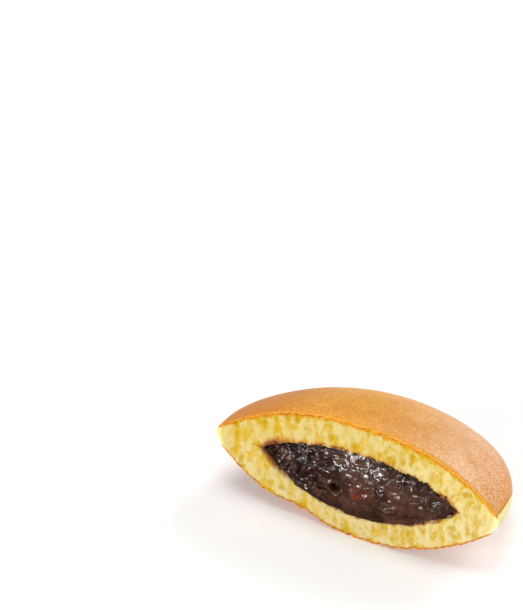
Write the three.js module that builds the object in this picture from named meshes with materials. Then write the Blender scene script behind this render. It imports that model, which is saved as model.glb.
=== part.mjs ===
// Half of a dorayaki: two domed griddle cakes round a sweet bean filling, cut through the middle.
// Units are millimetres and +Z is up. The cut runs along X and faces -Y.
// The half leans back on its round underside.
// Each piece is shaped in the cake's own frame: x along the cut, y into the half, z up from the seam.
import * as THREE from "three";

// Driving dimensions of the whole round cake
const RIM_RADIUS = 46.3;
const OUTLINE_WAVE = 0.8; // how far the round outline wanders
const LEAN_DEG = 8.2; // the half tips back by this much on its round underside
const TABLE_CRUSH = 1.3; // depth of soft underside that its own weight flattens
const GAP = 0.3; // clearance between neighbouring pieces

// The two cakes. Crown and edge are heights of the browned face from the seam, at its middle and edge.
// A larger power makes a fuller dome, fuller adds to it towards the right, and rimRound shapes the rim.
const TOP = {
  name: "top_cake",
  side: 1,
  crown: 18.6,
  edge: 3.0,
  edgeRadius: 45.3,
  power: 2.5,
  fuller: 0.34,
  rimRound: 0.8,
  color: 0xc98546,
};
const BOTTOM = {
  name: "bottom_cake",
  side: -1,
  crown: 21.0,
  edge: 3.9,
  edgeRadius: 44.2,
  power: 2.45,
  fuller: 0,
  rimRound: 2,
  color: 0xead778,
};
const RIM_SEAM_INSET = 0.3; // the pale rim dips in by this much at the seam
const CRUMB_RELIEF = 0.45; // roughness of the cut sponge
const CRUMB_PITCH = 3.4; // spacing of its hollows

// A pressed-in place under the left of the cut
const DENT = { x: -16.5, y: 0, depth: 2.7, reach: 9.3 };

// The bean filling: a thick lens that is deeper below the seam than above it
const FILLING = {
  name: "bean_filling",
  shift: 1.45, // along the cut, from the cake's middle
  reach: 31.5,
  above: 8.1,
  below: 12.7,
  powerAbove: 0.68,
  powerBelow: 0.85,
  edge: 0.5, // half thickness left at its thin edge
  color: 0x2e1b17,
};
const BEAN = { count: 30, halfLength: 3.6, halfWidth: 2.4, relief: 1.5 };
const BEAN_EDGE_SHARE = 0.35; // share of a bean's relief that is left at the filling's outline

// Mesh steps
const TURN_STEPS = 32;
const POCKET_STEPS = 13;
const RIM_STEPS = 7;
const CUT_ROWS = 6;
const FILLING_ROWS = 10;

const lean = THREE.MathUtils.degToRad(LEAN_DEG);
const upInCake = new THREE.Vector3(0, -Math.sin(lean), Math.cos(lean));

// Repeatable number from 0 to 1 for a pair of whole numbers
function hash(column, row) {
  const wave = Math.sin(column * 127.1 + row * 311.7) * 43758.5453;
  return wave - Math.floor(wave);
}

// Smooth bumps from -1 to 1 on a grid of the given pitch
function bumps(x, z, pitch) {
  const column = Math.floor(x / pitch);
  const row = Math.floor(z / pitch);
  const across = THREE.MathUtils.smoothstep(x / pitch - column, 0, 1);
  const along = THREE.MathUtils.smoothstep(z / pitch - row, 0, 1);
  const low = THREE.MathUtils.lerp(hash(column, row), hash(column + 1, row), across);
  const high = THREE.MathUtils.lerp(hash(column, row + 1), hash(column + 1, row + 1), across);
  return 2 * THREE.MathUtils.lerp(low, high, along) - 1;
}

// Wander of the round outline. It is nothing where the outline meets the cut.
function outlineWander(turn) {
  return OUTLINE_WAVE * Math.sin(3 * turn);
}

// Height of a cake's browned face from the seam, for a point of the plan
function faceHeight(cake, x, y) {
  const wander = outlineWander(Math.atan2(y, x));
  const share = Math.min(1, Math.hypot(x, y) / (cake.edgeRadius + wander));
  const power = cake.power + (cake.fuller * x) / cake.edgeRadius;
  const height = cake.edge + (cake.crown - cake.edge) * (1 - share ** power);
  if (cake.side > 0) return height;
  const fromDent = Math.hypot(x - DENT.x, y - DENT.y) / DENT.reach;
  return height - DENT.depth * Math.exp(-fromDent * fromDent);
}

// Half thickness of the filling on one side of the seam, at a share of its reach
function fillingHeight(side, share, clearance) {
  const depth = side > 0 ? FILLING.above : FILLING.below;
  const power = side > 0 ? FILLING.powerAbove : FILLING.powerBelow;
  const lens = Math.max(0, 1 - share * share) ** power;
  return FILLING.edge + clearance + (depth - FILLING.edge) * lens;
}

// Relief of the cut sponge, which fades out at the two thin tips
function crumbRelief(x, z) {
  const tipShare = Math.abs(x) / RIM_RADIUS;
  const fade = 1 - THREE.MathUtils.smoothstep(tipShare, 0.85, 1);
  return CRUMB_RELIEF * fade * bumps(x, z, CRUMB_PITCH);
}

// Beans spread evenly over the cut filling, each turned by the golden angle from the last
function makeBeans() {
  const beans = [];
  for (let k = 1; k <= BEAN.count; k += 1) {
    const along = (0.5 + k * 0.7548776662) % 1;
    const up = (0.5 + k * 0.569840291) % 1;
    beans.push({
      x: FILLING.shift + FILLING.reach * (2 * along - 1),
      z: THREE.MathUtils.lerp(-FILLING.below, FILLING.above, up),
      angle: k * 2.39996,
    });
  }
  return beans;
}
const beans = makeBeans();

// How far the tallest bean at this place stands out of the cut filling
function beanRelief(x, z) {
  const reliefs = beans.map((bean) => {
    const dx = x - bean.x;
    const dz = z - bean.z;
    const along = (dx * Math.cos(bean.angle) + dz * Math.sin(bean.angle)) / BEAN.halfLength;
    const across = (dz * Math.cos(bean.angle) - dx * Math.sin(bean.angle)) / BEAN.halfWidth;
    return BEAN.relief * Math.sqrt(Math.max(0, 1 - along * along - across * across));
  });
  return Math.max(...reliefs);
}

// Closed surface of a half turn of columns. A column is found by its step out from the axis and its step
// round the turn, and its rows run from the inner face to the outer one. pointAt gives each row's place.
function halfTurnSolid(outSteps, rows, pointAt, inverted) {
  const positions = [];
  const indices = [];
  const known = new Map();
  const vertex = (out, row, turn) => {
    const key = out === 0 ? `axis ${row} ${row % rows === 0 ? "" : "cut"}` : `${out} ${row} ${turn}`;
    if (!known.has(key)) {
      known.set(key, positions.length / 3);
      positions.push(...pointAt(out, row, turn).toArray());
    }
    return known.get(key);
  };
  const triangle = (a, b, c) => {
    if (a === b || b === c || a === c) return;
    indices.push(...(inverted ? [a, c, b] : [a, b, c]));
  };
  const quad = (a, b, c, d) => {
    triangle(a, b, c);
    triangle(a, c, d);
  };
  for (let turn = 0; turn < TURN_STEPS; turn += 1) {
    for (let out = 0; out < outSteps; out += 1) {
      const face = (row) => [
        vertex(out, row, turn),
        vertex(out + 1, row, turn),
        vertex(out + 1, row, turn + 1),
        vertex(out, row, turn + 1),
      ];
      quad(...face(rows));
      quad(...face(0).reverse());
    }
    for (let row = 0; row < rows; row += 1) {
      quad(
        vertex(outSteps, row, turn),
        vertex(outSteps, row, turn + 1),
        vertex(outSteps, row + 1, turn + 1),
        vertex(outSteps, row + 1, turn),
      );
    }
  }
  for (const turn of [0, TURN_STEPS]) {
    for (let out = 0; out < outSteps; out += 1) {
      for (let row = 0; row < rows; row += 1) {
        const cell = [
          vertex(out, row, turn),
          vertex(out + 1, row, turn),
          vertex(out + 1, row + 1, turn),
          vertex(out, row + 1, turn),
        ];
        quad(...(turn === 0 ? cell : cell.reverse()));
      }
    }
  }
  const geometry = new THREE.BufferGeometry();
  geometry.setAttribute("position", new THREE.Float32BufferAttribute(positions, 3));
  geometry.setIndex(indices);
  geometry.computeVertexNormals();
  return geometry;
}

// Height of the table in the cake's frame, measured along the leaning half's true vertical
function tableLevel() {
  let lowest = Infinity;
  for (let y = 0; y <= BOTTOM.edgeRadius; y += 0.25) {
    const point = new THREE.Vector3(0, y, -faceHeight(BOTTOM, 0, y));
    lowest = Math.min(lowest, point.dot(upInCake));
  }
  return lowest + TABLE_CRUSH;
}
const table = tableLevel();

// Flattens what would reach below the table, as soft sponge does
function restOnTable(point) {
  const below = table - point.dot(upInCake);
  return below > 0 ? point.addScaledVector(upInCake, below) : point;
}

// One griddle cake: browned dome, rounded pale rim, and an inner face with a pocket for the filling
function cakeGeometry(cake) {
  const outSteps = POCKET_STEPS + RIM_STEPS;
  const pocketReach = FILLING.reach + GAP;
  const pointAt = (out, row, turnStep) => {
    const turn = (Math.PI * turnStep) / TURN_STEPS;
    const onCut = turnStep === 0 || turnStep === TURN_STEPS || out === 0;
    const level = row / CUT_ROWS;
    const edge = new THREE.Vector2(Math.cos(turn), Math.sin(turn));
    const pocketShare = Math.min(1, out / POCKET_STEPS);
    const plan = edge.clone().multiplyScalar(pocketReach * Math.sin((pocketShare * Math.PI) / 2));
    plan.x += FILLING.shift;
    const inPocket = out <= POCKET_STEPS;
    const rimShare = inPocket ? 0 : (out - POCKET_STEPS) / RIM_STEPS;
    const rim = edge.clone().multiplyScalar(cake.edgeRadius + outlineWander(turn));
    plan.lerp(rim, rimShare);
    const inner = inPocket
      ? fillingHeight(cake.side, Math.sin((pocketShare * Math.PI) / 2), GAP)
      : GAP / 2;
    let height = THREE.MathUtils.lerp(inner, faceHeight(cake, plan.x, plan.y), level);
    if (out === outSteps) {
      const bow = Math.cos((level * Math.PI) / 2) ** cake.rimRound * (RIM_RADIUS - cake.edgeRadius);
      const seamDip = RIM_SEAM_INSET * (1 - level) ** 6;
      plan.addScaledVector(edge, bow - seamDip);
      height = THREE.MathUtils.lerp(GAP / 2, faceHeight(cake, rim.x, rim.y), level);
    }
    const point = new THREE.Vector3(plan.x, plan.y, cake.side * height);
    if (onCut) point.y -= crumbRelief(point.x, point.z);
    return cake.side < 0 ? restOnTable(point) : point;
  };
  return halfTurnSolid(outSteps, CUT_ROWS, pointAt, cake.side < 0);
}

// The bean filling, smooth inside the cakes and lumpy with beans on the cut
function fillingGeometry() {
  const pointAt = (out, row, turnStep) => {
    const turn = (Math.PI * turnStep) / TURN_STEPS;
    const onCut = turnStep === 0 || turnStep === TURN_STEPS || out === 0;
    const share = Math.sin(((out / POCKET_STEPS) * Math.PI) / 2);
    const level = row / FILLING_ROWS;
    const low = -fillingHeight(-1, share, 0);
    const high = fillingHeight(1, share, 0);
    const point = new THREE.Vector3(
      FILLING.shift + FILLING.reach * share * Math.cos(turn),
      FILLING.reach * share * Math.sin(turn),
      THREE.MathUtils.lerp(low, high, level),
    );
    if (onCut) {
      const inside = Math.min(1, 8 * level * (1 - level)) * Math.min(1, 6 * (1 - share));
      const fade = THREE.MathUtils.lerp(BEAN_EDGE_SHARE, 1, inside);
      point.y -= fade * beanRelief(point.x, point.z);
    }
    return point;
  };
  return halfTurnSolid(POCKET_STEPS, FILLING_ROWS, pointAt, false);
}

function piece(name, geometry, color, roughness) {
  const material = new THREE.MeshStandardMaterial({ color, roughness, metalness: 0 });
  const mesh = new THREE.Mesh(geometry, material);
  mesh.name = name;
  return mesh;
}

// The leaning half, set down so that the origin is under the middle of its box, on the table
const half = new THREE.Group();
half.add(piece(TOP.name, cakeGeometry(TOP), TOP.color, 0.6));
half.add(piece(BOTTOM.name, cakeGeometry(BOTTOM), BOTTOM.color, 0.8));
half.add(piece(FILLING.name, fillingGeometry(), FILLING.color, 0.25));
half.rotation.x = -lean;

const dorayaki = new THREE.Group();
dorayaki.add(half);
const box = new THREE.Box3().setFromObject(dorayaki, true);
const centre = box.getCenter(new THREE.Vector3());
half.position.set(-centre.x, -centre.y, -box.min.z);

export default dorayaki;
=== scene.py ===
"""Half of a dorayaki, dressed over its CAD frame: two griddle cakes round a sweet bean filling.

Sizes are millimetres in the cake's own frame: x along the cut, y from the cut into the half and
z up from the seam. Each shape tree ends by leaning the piece back and setting it in the part's
frame, in metres.
"""

import logging
import math
from collections.abc import Callable, Mapping
from dataclasses import asdict, dataclass, field, fields
from enum import Enum
from typing import Any, Union

import bpy
from mathutils import Matrix, Vector


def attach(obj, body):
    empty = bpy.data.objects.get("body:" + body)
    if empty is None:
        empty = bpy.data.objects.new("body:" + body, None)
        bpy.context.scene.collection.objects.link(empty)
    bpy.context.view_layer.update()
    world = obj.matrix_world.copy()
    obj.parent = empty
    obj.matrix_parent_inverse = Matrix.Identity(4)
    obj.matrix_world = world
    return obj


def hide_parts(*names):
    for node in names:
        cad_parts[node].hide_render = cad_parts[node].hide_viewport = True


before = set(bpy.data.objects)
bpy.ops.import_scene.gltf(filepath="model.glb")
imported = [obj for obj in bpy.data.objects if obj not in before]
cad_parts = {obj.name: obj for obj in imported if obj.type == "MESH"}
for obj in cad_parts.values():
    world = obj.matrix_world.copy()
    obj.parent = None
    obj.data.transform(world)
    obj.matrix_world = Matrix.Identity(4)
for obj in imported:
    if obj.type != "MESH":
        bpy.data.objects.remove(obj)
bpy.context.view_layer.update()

log = logging.getLogger("dorayaki")

MM = 0.001
LEAN_DEG = 8.2
SEAM_ON_CUT = Vector((0.0, -21.054, 20.450))  # middle of the cut at the seam, in the part's frame
BODY = "root"

Colour = tuple[float, float, float]
Pair = tuple[float, float]
Operand = Union["Field", float]


def linear(red: int, green: int, blue: int) -> Colour:
    """Turns a colour given in 0 to 255 display steps into linear light.

    Args:
        red: Display red.
        green: Display green.
        blue: Display blue.

    Returns:
        The linear colour.
    """
    def channel(step: int) -> float:
        """Undoes the display curve of one channel."""
        share = step / 255
        return share / 12.92 if share <= 0.04045 else ((share + 0.055) / 1.055) ** 2.4

    return channel(red), channel(green), channel(blue)


def socket_name(name: str) -> str:
    """Gives the input that a size or a tone is set on: face_light is set on Face Light."""
    return name.replace("_", " ").title()


class Mark(str, Enum):
    """Values stored on a piece's points for its finish to read."""

    CRUST_DEPTH = "crust_depth"  # millimetres below the browned face
    EDGE_SHARE = "edge_share"  # 0 at the middle of the browned face to 1 at its edge
    HOLLOW = "hollow"  # painted shade: 0 on a wall of the sponge to 1 deep in a cell, where it turns a deeper yellow
    PASTE_GAP = "paste_gap"  # millimetres from the filling
    SEAM_GAP = "seam_gap"  # millimetres from the seam, round the rim
    BEAN = "bean"  # 1 on a bean, 0 on the paste between
    TINT = "tint"  # a chance number for each bean
    SMEAR = "smear"  # 1 where the knife smoothed the paste
    PRESSED = "pressed"  # 1 where the paste is pressed flat and wet
    CREVICE = "crevice"  # painted shade: 0 on the front of the paste to 1 deep between beans, in cracks and in the hole
    UPWARD = "upward"  # 1 on the upper slopes of the paste, where its syrup stays


class Side(Enum):
    """Which way a cake's browned face looks."""

    TOP = 1.0
    BOTTOM = -1.0


class Field:
    """One output of a node, so that nodes can be written as arithmetic."""

    def __init__(self, graph: "Graph", socket: bpy.types.NodeSocket) -> None:
        """Keeps the output and the graph that it belongs to."""
        self.graph = graph
        self.socket = socket

    def __add__(self, other: Operand) -> "Field":
        """Adds."""
        return self.graph.math("ADD", self, other)

    def __radd__(self, other: float) -> "Field":
        """Adds to a number."""
        return self.graph.math("ADD", other, self)

    def __sub__(self, other: Operand) -> "Field":
        """Subtracts."""
        return self.graph.math("SUBTRACT", self, other)

    def __rsub__(self, other: float) -> "Field":
        """Subtracts from a number."""
        return self.graph.math("SUBTRACT", other, self)

    def __mul__(self, other: Operand) -> "Field":
        """Multiplies."""
        return self.graph.math("MULTIPLY", self, other)

    def __rmul__(self, other: float) -> "Field":
        """Multiplies a number."""
        return self.graph.math("MULTIPLY", other, self)

    def __truediv__(self, other: Operand) -> "Field":
        """Divides."""
        return self.graph.math("DIVIDE", self, other)

    def __pow__(self, other: Operand) -> "Field":
        """Raises to a power."""
        return self.graph.math("POWER", self, other)

    def least(self, other: Operand) -> "Field":
        """Takes the smaller of two."""
        return self.graph.math("MINIMUM", self, other)

    def most(self, other: Operand) -> "Field":
        """Takes the larger of two."""
        return self.graph.math("MAXIMUM", self, other)

    def step(self, low: Operand, high: Operand) -> "Field":
        """Rises smoothly from 0 at low to 1 at high, or falls where high is the smaller."""
        return self.graph.step(self, low, high)


class Graph:
    """Builds one node tree, for a shape or for a finish."""

    def __init__(self, tree: bpy.types.NodeTree) -> None:
        """Starts on a tree that has no nodes yet."""
        self.tree = tree

    def add(self, kind: str, inputs: Mapping[str, Any] | None = None, **settings: Any) -> bpy.types.Node:
        """Adds a node.

        Args:
            kind: The node's type name.
            inputs: Values or outputs for its inputs, by socket identifier.
            settings: Properties of the node.

        Returns:
            The node.
        """
        node = self.tree.nodes.new(kind)
        for name, value in settings.items():
            setattr(node, name, value)
        for identifier, value in (inputs or {}).items():
            socket = next(s for s in node.inputs if s.identifier == identifier)
            self.feed(socket, value)
        return node

    def feed(self, socket: bpy.types.NodeSocket, value: Any) -> None:
        """Links an output to an input, or sets the input's own value.

        Args:
            socket: The input.
            value: A field, a socket or a plain value.
        """
        if isinstance(value, Field):
            value = value.socket
        if isinstance(value, bpy.types.NodeSocket):
            self.tree.links.new(value, socket)
        else:
            socket.default_value = value

    def out(self, node: bpy.types.Node, identifier: str) -> Field:
        """Wraps one of a node's outputs."""
        return Field(self, next(s for s in node.outputs if s.identifier == identifier))

    def math(self, operation: str, *operands: Operand) -> Field:
        """Adds a Math node.

        Args:
            operation: The node's operation.
            operands: One to three fields or numbers.

        Returns:
            Its result.
        """
        names = ("Value", "Value_001", "Value_002")
        node = self.add("ShaderNodeMath", dict(zip(names, operands)), operation=operation)
        return self.out(node, "Value")

    def square(self, value: Operand) -> Field:
        """Multiplies a field or a number by itself."""
        return self.math("MULTIPLY", value, value)

    def step(self, value: Operand, low: Operand, high: Operand) -> Field:
        """Rises smoothly from 0 at low to 1 at high, or falls where high is the smaller.

        Args:
            value: What is measured.
            low: Where the result is 0.
            high: Where the result is 1.

        Returns:
            The smooth step.
        """
        inputs = {"Value": value, "From Min": low, "From Max": high}
        node = self.add("ShaderNodeMapRange", inputs, interpolation_type="SMOOTHSTEP")
        return self.out(node, "Result")

    def vector(self, x: Operand, y: Operand, z: Operand) -> Field:
        """Joins three numbers into a vector."""
        return self.out(self.add("ShaderNodeCombineXYZ", {"X": x, "Y": y, "Z": z}), "Vector")

    def split(self, vector: Field) -> tuple[Field, Field, Field]:
        """Splits a vector into its three numbers."""
        node = self.add("ShaderNodeSeparateXYZ", {"Vector": vector})
        return self.out(node, "X"), self.out(node, "Y"), self.out(node, "Z")

    def noise(self, vector: Field, size: Operand, detail: float = 2.0, seed: float = 0.0) -> Field:
        """Adds smooth noise.

        Args:
            vector: Where it is read.
            size: Size of its features, in the vector's units.
            detail: Octaves of finer noise.
            seed: Which noise it is.

        Returns:
            A value that wanders between 0 and 1, about 0.5.
        """
        scale = self.math("DIVIDE", 1.0, size) if isinstance(size, Field) else 1.0 / size
        inputs = {"Vector": vector, "W": seed, "Scale": scale, "Detail": detail}
        return self.out(self.add("ShaderNodeTexNoise", inputs, noise_dimensions="4D"), "Fac")

    def sway(self, vector: Field, size: Operand, detail: float = 2.0, seed: float = 0.0) -> Field:
        """Adds the same noise, but wandering about 0."""
        return self.noise(vector, size, detail, seed) - 0.5

    def cells(self, vector: Field, dimensions: str = "2D") -> tuple[Field, Field]:
        """Adds scattered cells, about one to each unit of the vector.

        Args:
            vector: Where they are read.
            dimensions: The texture's dimensions.

        Returns:
            The distance from the nearest cell's middle, and a chance number for that cell.
        """
        inputs = {"Vector": vector, "Scale": 1.0}
        node = self.add("ShaderNodeTexVoronoi", inputs, voronoi_dimensions=dimensions)
        chance, _, _ = self.split(self.out(node, "Color"))
        return self.out(node, "Distance"), chance

    def blend(self, share: Operand, start: Any, end: Any) -> Field:
        """Mixes two colours.

        Args:
            share: 0 for the first to 1 for the second.
            start: The first colour.
            end: The second colour.

        Returns:
            The mixed colour.
        """
        pair = [value if isinstance(value, Field) else (*value, 1.0) for value in (start, end)]
        inputs = {"Factor_Float": share, "A_Color": pair[0], "B_Color": pair[1]}
        return self.out(self.add("ShaderNodeMix", inputs, data_type="RGBA"), "Result_Color")

    def receive(self, kinds: Mapping[str, str]) -> dict[str, Field]:
        """Makes the tree's named inputs.

        Args:
            kinds: A socket type name for each input.

        Returns:
            The inputs, as fields to build with.
        """
        for name, kind in kinds.items():
            self.tree.interface.new_socket(name, in_out="INPUT", socket_type=f"NodeSocket{kind}")
        node = self.add("NodeGroupInput")
        return {name: Field(self, node.outputs[name]) for name in kinds}

    def deliver(self, results: Mapping[str, tuple[str, Any]]) -> None:
        """Makes the tree's named outputs.

        Args:
            results: A socket type name and a field for each output.
        """
        for name, (kind, _) in results.items():
            self.tree.interface.new_socket(name, in_out="OUTPUT", socket_type=f"NodeSocket{kind}")
        node = self.add("NodeGroupOutput")
        for name, (_, value) in results.items():
            self.feed(node.inputs[name], value)


class ShapeGraph(Graph):
    """Builds a Geometry Nodes tree."""

    def __init__(self, name: str) -> None:
        """Starts a new, empty tree."""
        super().__init__(bpy.data.node_groups.new(name, "GeometryNodeTree"))

    def position(self) -> Field:
        """Reads where each point is."""
        return self.out(self.add("GeometryNodeInputPosition"), "Position")

    def normal(self) -> Field:
        """Reads which way each point looks."""
        return self.out(self.add("GeometryNodeInputNormal"), "Normal")

    def read(self, mark: Mark) -> Field:
        """Reads a value stored on the points."""
        return self.out(self.add("GeometryNodeInputNamedAttribute", {"Name": mark.value}), "Attribute")

    def grid(self, columns: int, rows: int) -> tuple[Field, Field, Field]:
        """Adds a flat grid to be shaped.

        Args:
            columns: Faces along it.
            rows: Faces across it.

        Returns:
            The grid, its place along from -1 to 1, and its place across from 0 to 1.
        """
        sizes = {"Size X": 2.0, "Size Y": 1.0, "Vertices X": columns + 1, "Vertices Y": rows + 1}
        mesh = self.out(self.add("GeometryNodeMeshGrid", sizes), "Mesh")
        along, across, _ = self.split(self.position())
        return mesh, along, across + 0.5

    def store(self, geometry: Field, mark: Mark, value: Operand) -> Field:
        """Stores a value on the points of a geometry."""
        inputs = {"Geometry": geometry, "Name": mark.value, "Value": value}
        return self.out(self.add("GeometryNodeStoreNamedAttribute", inputs), "Geometry")

    def place(self, geometry: Field, position: Field) -> Field:
        """Moves the points of a geometry."""
        inputs = {"Geometry": geometry, "Position": position}
        return self.out(self.add("GeometryNodeSetPosition", inputs), "Geometry")

    def flip(self, mesh: Field, selection: Field | bool = True) -> Field:
        """Turns faces over."""
        return self.out(self.add("GeometryNodeFlipFaces", {"Mesh": mesh, "Selection": selection}), "Mesh")

    def join(self, *parts: Field) -> Field:
        """Joins geometries into one.

        Args:
            parts: The geometries.

        Returns:
            The joined geometry.
        """
        node = self.add("GeometryNodeJoinGeometry")
        for part in parts:
            self.feed(node.inputs[0], part)
        return self.out(node, "Geometry")

    def weld(self, mesh: Field, distance: float) -> Field:
        """Merges points that lie closer than a distance."""
        inputs = {"Geometry": mesh, "Distance": distance}
        return self.out(self.add("GeometryNodeMergeByDistance", inputs), "Geometry")

    def chance(self, low: float, high: float, seed: int) -> Field:
        """Draws a chance number for each point."""
        inputs = {"Min_001": low, "Max_001": high, "Seed": seed}
        return self.out(self.add("FunctionNodeRandomValue", inputs, data_type="FLOAT"), "Value_001")

    def turn(self, angles: Any) -> bpy.types.NodeSocket:
        """Makes a rotation from its angles about x, y and z."""
        return self.add("FunctionNodeEulerToRotation", {"Euler": angles}).outputs["Rotation"]

    def transform(self, mesh: Field, shift: Any, angles: Any, scale: Any) -> Field:
        """Scales, turns and then moves a mesh."""
        inputs = {"Geometry": mesh, "Translation": shift, "Rotation": self.turn(angles), "Scale": scale}
        return self.out(self.add("GeometryNodeTransform", inputs), "Geometry")

    def realize(self, geometry: Field) -> Field:
        """Turns instances into meshes."""
        return self.out(self.add("GeometryNodeRealizeInstances", {"Geometry": geometry}), "Geometry")

    def finish(self, mesh: Field, material: Field) -> None:
        """Leans a piece back, rests it on the table, and ends the tree.

        Args:
            mesh: The piece in the cake's frame, in millimetres.
            material: Its finish.
        """
        lean = (-math.radians(LEAN_DEG), 0.0, 0.0)
        leaned = self.transform(mesh, SEAM_ON_CUT * MM, lean, (MM, MM, MM))
        x, y, z = self.split(self.position())
        rested = self.place(leaned, self.vector(x, y, z.most(0.0)))
        smooth = self.out(self.add("GeometryNodeSetShadeSmooth", {"Geometry": rested}), "Geometry")
        inputs = {"Geometry": self.realize(smooth), "Material": material}
        dressed = self.add("GeometryNodeSetMaterial", inputs)
        self.deliver({"Geometry": ("Geometry", dressed.outputs["Geometry"])})


def grow(name: str, tree: bpy.types.NodeTree, values: Mapping[str, Any]) -> bpy.types.Object:
    """Runs a shape tree and keeps its result as a plain mesh.

    Args:
        name: Name of the piece.
        tree: The shape tree.
        values: A value for each of the tree's inputs, by name.

    Returns:
        The piece, at the origin.
    """
    piece = bpy.data.objects.new(name, bpy.data.meshes.new(name))
    bpy.context.scene.collection.objects.link(piece)
    modifier = piece.modifiers.new(name, "NODES")
    modifier.node_group = tree
    for item in tree.interface.items_tree:
        if item.in_out == "INPUT" and item.name in values:
            modifier[item.identifier] = values[item.name]
    evaluated = piece.evaluated_get(bpy.context.evaluated_depsgraph_get())
    made = bpy.data.meshes.new_from_object(evaluated)
    piece.modifiers.clear()
    piece.data = made
    made.name = name
    return piece


def enlist(piece: bpy.types.Object, node: str, slot: str) -> None:
    """Gives a finished piece its body, hides the CAD node that it stands for, and reports it.

    Args:
        piece: The piece.
        node: The CAD node that it stands for.
        slot: The record's material slot; not used.
    """
    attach(piece, BODY)
    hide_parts(node)
    piece.data.calc_loop_triangles()
    log.info("%s: %d triangles", piece.name, len(piece.data.loop_triangles))


# Finishes


class FinishGraph(Graph):
    """Builds the nodes of a material or of a shader group."""

    def object_place(self) -> Field:
        """Reads the place on the piece, in millimetres."""
        place = self.out(self.add("ShaderNodeTexCoord"), "Object")
        inputs = {"Vector": place, "Scale": 1.0 / MM}
        return self.out(self.add("ShaderNodeVectorMath", inputs, operation="SCALE"), "Vector")

    def mark(self, mark: Mark) -> Field:
        """Reads a value stored on the piece."""
        return self.out(self.add("ShaderNodeAttribute", attribute_name=mark.value), "Fac")

    def group(self, tree: bpy.types.NodeTree, inputs: Mapping[str, Any]) -> bpy.types.Node:
        """Places a shader group with its own values.

        Args:
            tree: The group.
            inputs: A value or field for each named input.

        Returns:
            The group's node.
        """
        node = self.add("ShaderNodeGroup", node_tree=tree)
        for name, value in inputs.items():
            self.feed(node.inputs[name], value)
        return node


def new_material(name: str) -> tuple[bpy.types.Material, FinishGraph, bpy.types.Node]:
    """Starts a material with one Principled shader.

    Args:
        name: Name of the material.

    Returns:
        The material, its graph and the shader's node.
    """
    material = bpy.data.materials.new(name)
    material.use_nodes = True
    material.node_tree.nodes.clear()
    graph = FinishGraph(material.node_tree)
    shader = graph.add("ShaderNodeBsdfPrincipled")
    graph.add("ShaderNodeOutputMaterial", {"Surface": shader.outputs["BSDF"]})
    return material, graph, shader


def raise_bump(graph: FinishGraph, shader: bpy.types.Node, height: Field, depth: float) -> None:
    """Gives a shader fine relief.

    Args:
        graph: The material's graph.
        shader: Its shader.
        height: Height over the surface, 0 to 1.
        depth: What a height of 1 stands for, in millimetres.
    """
    bump = graph.add("ShaderNodeBump", {"Height": height, "Distance": depth * MM, "Strength": 1.0})
    graph.feed(shader.inputs["Normal"], bump.outputs["Normal"])


class GrainGroup:
    """Shader group: two sizes of grain, shared by the sponge and the paste."""

    def __init__(self) -> None:
        """Builds the group."""
        graph = FinishGraph(bpy.data.node_groups.new("food_grain", "ShaderNodeTree"))
        given = graph.receive({"Place": "Vector", "Fine Size": "Float", "Broad Size": "Float"})
        fine = graph.noise(given["Place"], given["Fine Size"], seed=3.0)
        broad = graph.noise(given["Place"], given["Broad Size"], detail=3.0, seed=11.0)
        graph.deliver({"Fine": ("Float", fine), "Broad": ("Float", broad)})
        self.tree = graph.tree

    def read(self, graph: FinishGraph, place: Field, fine: float, broad: float) -> tuple[Field, Field]:
        """Places the group in a finish.

        Args:
            graph: The finish's graph.
            place: Where the grain is read.
            fine: Size of the fine grain, in millimetres.
            broad: Size of the broad grain.

        Returns:
            The fine and the broad grain, each between 0 and 1.
        """
        node = graph.group(self.tree, {"Place": place, "Fine Size": fine, "Broad Size": broad})
        return Field(graph, node.outputs["Fine"]), Field(graph, node.outputs["Broad"])


@dataclass(frozen=True)
class SpongeTones:
    """Colours of a griddle cake, from its browned face to its crumb."""

    face_light: Colour
    face_dark: Colour
    # painted sheen: the face's pale, pinkish tone towards the right stands in for light reflected there
    face_pale: Colour
    line: Colour
    line_dark: Colour
    crumb: Colour
    # painted shade: the deeper yellow of the sponge's cells, also laid under the face
    hollow: Colour
    rim: Colour
    seam: Colour
    stain: Colour


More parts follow.
